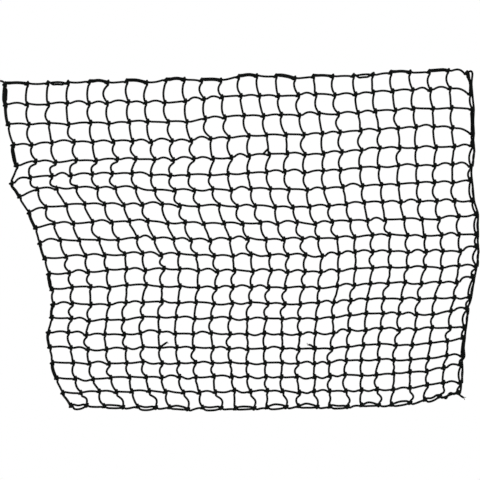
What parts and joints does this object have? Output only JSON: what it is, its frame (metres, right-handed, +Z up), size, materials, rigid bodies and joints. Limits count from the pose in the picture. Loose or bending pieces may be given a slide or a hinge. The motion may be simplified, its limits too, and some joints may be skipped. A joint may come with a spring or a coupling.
{
  "type": "tennis net",
  "caption": "Hanging panel of knotted square-mesh tennis netting in black braided twine, with doubled selvedges, a laced side edge and loose twine ends.",
  "frame": {"origin": "middle knot of the head edge, on the twine's centre plane", "axes": "+X along the head edge to the right seen from the front, -Y out of the front face, +Z up towards the head edge; the panel hangs in the XZ plane"},
  "size_m": [1.0832, 0.0096, 0.7829],
  "materials": {
    "twine": "satin"
  },
  "bodies": {
    "head_band": {"course_00": "twine", "course_01": "twine", "course_02": "twine", "course_03": "twine", "head_loop_01": "twine", "head_loop_02": "twine", "head_loop_03": "twine", "head_loop_04": "twine", "head_loop_05": "twine", "head_loop_06": "twine", "head_loop_07": "twine", "head_loop_08": "twine", "head_loop_09": "twine", "head_loop_10": "twine", "head_loop_11": "twine", "head_loop_12": "twine", "start_tail": "twine", "side_lacing_1": "twine"},
    "upper_band": {"course_04": "twine", "course_05": "twine", "course_06": "twine", "course_07": "twine", "side_lacing_2": "twine"},
    "middle_band": {"course_08": "twine", "course_09": "twine", "course_10": "twine", "course_11": "twine", "side_lacing_3": "twine"},
    "lower_band": {"course_12": "twine", "course_13": "twine", "course_14": "twine", "course_15": "twine", "side_lacing_4": "twine"},
    "foot_band": {"course_16": "twine", "course_17": "twine", "course_18": "twine", "course_19": "twine", "course_20": "twine", "foot_loop_01": "twine", "foot_loop_02": "twine", "foot_loop_03": "twine", "foot_loop_04": "twine", "foot_loop_05": "twine", "foot_loop_06": "twine", "foot_loop_07": "twine", "foot_loop_08": "twine", "foot_loop_09": "twine", "foot_loop_10": "twine", "foot_loop_11": "twine", "foot_loop_12": "twine", "join_tail_1": "twine", "join_tail_2": "twine", "end_tail": "twine", "side_lacing_5": "twine"}
  },
  "joints": [
    {"name": "fold_1", "type": "hinge", "parent": "head_band", "child": "upper_band", "pos_m": [0, 0, -0.1545], "axis": [0.9996, 0, 0.027], "range_deg": [-60, 60]},
    {"name": "fold_2", "type": "hinge", "parent": "upper_band", "child": "middle_band", "pos_m": [0, 0, -0.308], "axis": [0.9998, 0, 0.02], "range_deg": [-60, 60]},
    {"name": "fold_3", "type": "hinge", "parent": "middle_band", "child": "lower_band", "pos_m": [0, 0, -0.453], "axis": [0.9997, 0, 0.024], "range_deg": [-60, 60]},
    {"name": "fold_4", "type": "hinge", "parent": "lower_band", "child": "foot_band", "pos_m": [0, 0, -0.5905], "axis": [0.9997, 0, 0.023], "range_deg": [-60, 60]}
  ]
}
